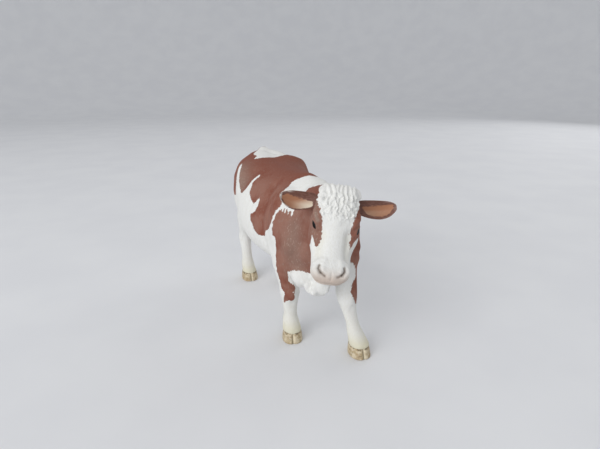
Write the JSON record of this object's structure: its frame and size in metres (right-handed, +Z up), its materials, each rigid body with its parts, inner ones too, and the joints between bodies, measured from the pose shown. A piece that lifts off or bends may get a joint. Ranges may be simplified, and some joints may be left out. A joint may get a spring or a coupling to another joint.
{
  "type": "cow figurine",
  "caption": "Painted cow figurine in a walking stance with its head turned, a brown and white coat, and cloven hooves with flat soles to stand on.",
  "frame": {"origin": "on the ground, under the middle of the figure's box", "axes": "+Z up, -Y towards the nose, so the animal's right side is -X"},
  "size_m": [0.0456, 0.141, 0.0822],
  "materials": {
    "coat_white": "matte hand-painted white coat",
    "coat_brown": "matte hand-painted brown coat with white patches",
    "ear_brown": "matte dark brown paint, lighter inside the cup",
    "hoof_horn": "satin horn colour with a dark wash",
    "udder_pink": "matte pale pink paint"
  },
  "bodies": {
    "root": {"torso": "coat_brown", "neck": "coat_brown", "head": "coat_white", "ear_right": "ear_brown", "ear_left": "ear_brown", "foreleg_right": "coat_white", "foreleg_left": "coat_white", "hindleg_right": "coat_white", "hindleg_left": "coat_white", "fore_hoof_right": "hoof_horn", "fore_hoof_left": "hoof_horn", "hind_hoof_right": "hoof_horn", "hind_hoof_left": "hoof_horn", "tail": "coat_white", "udder": "udder_pink"}
  },
  "joints": []
}
